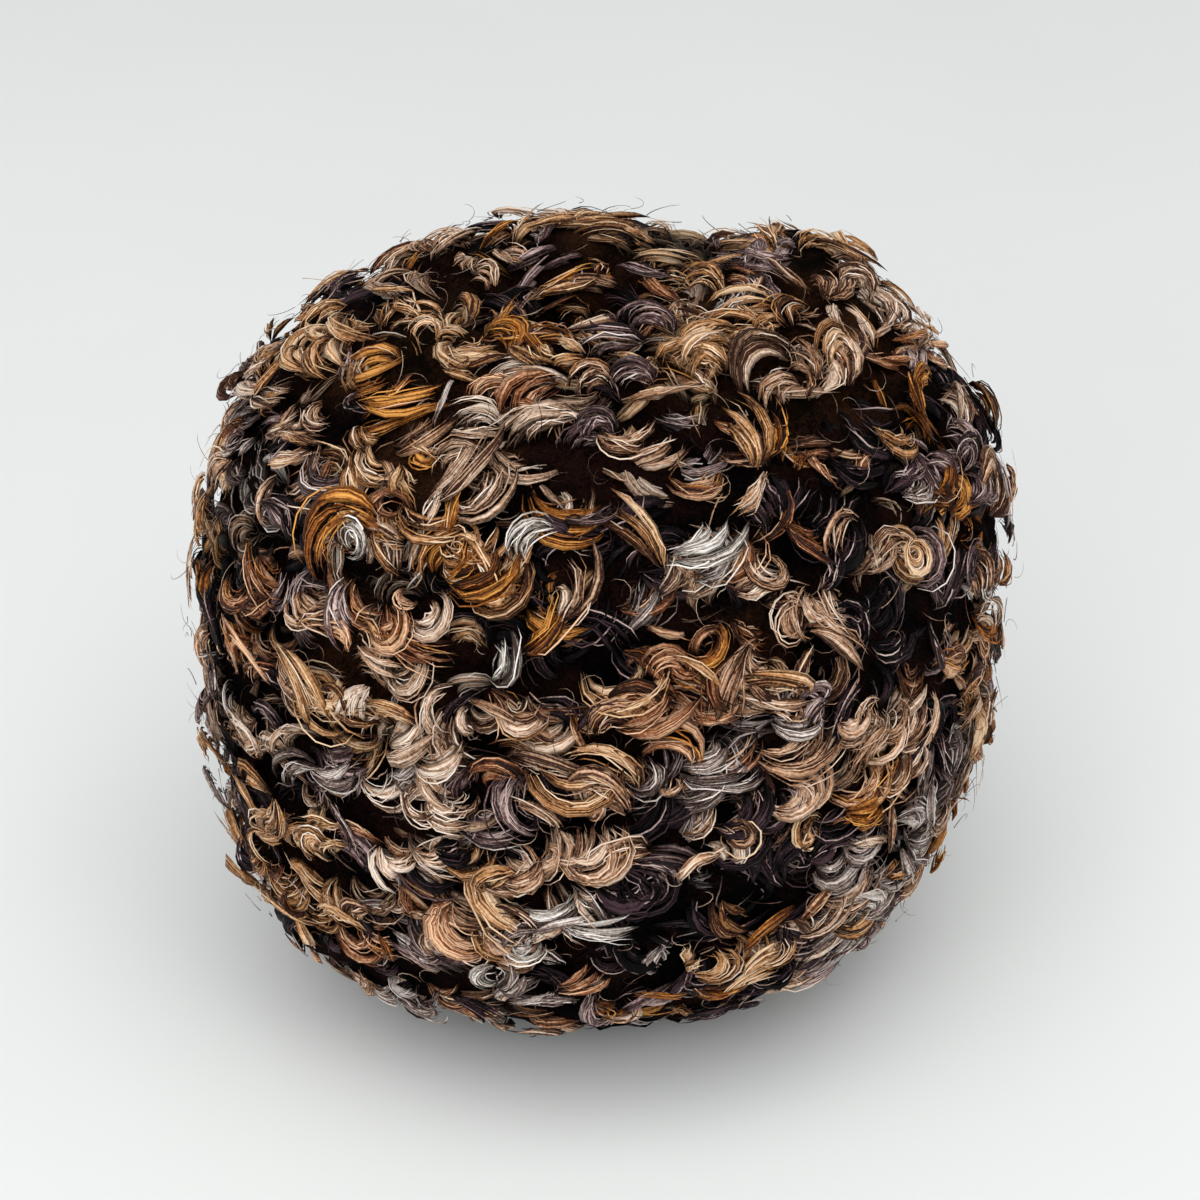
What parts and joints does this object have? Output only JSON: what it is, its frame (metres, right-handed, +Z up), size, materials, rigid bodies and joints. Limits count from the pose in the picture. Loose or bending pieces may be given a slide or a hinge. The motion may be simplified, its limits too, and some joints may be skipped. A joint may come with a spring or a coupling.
{
  "type": "ball of yarn",
  "caption": "Ball of curly yarn wound on end like a thick ring, with a hollow in the top, rows of loose fluffy curls and a pressed flat underside to stand on.",
  "frame": {"origin": "middle of the ball's footprint, on the surface that it rests on", "axes": "+Z up along the winding's axis, out of the hollow in the top; -Y towards the side that the picture shows"},
  "size_m": [0.1001, 0.0998, 0.0946],
  "materials": {
    "yarn": "fluffy curls of fine matt fibres in camel, beige, honey, mauve brown, ivory and near black"
  },
  "bodies": {
    "root": {"yarn_ball": "yarn"}
  },
  "joints": []
}
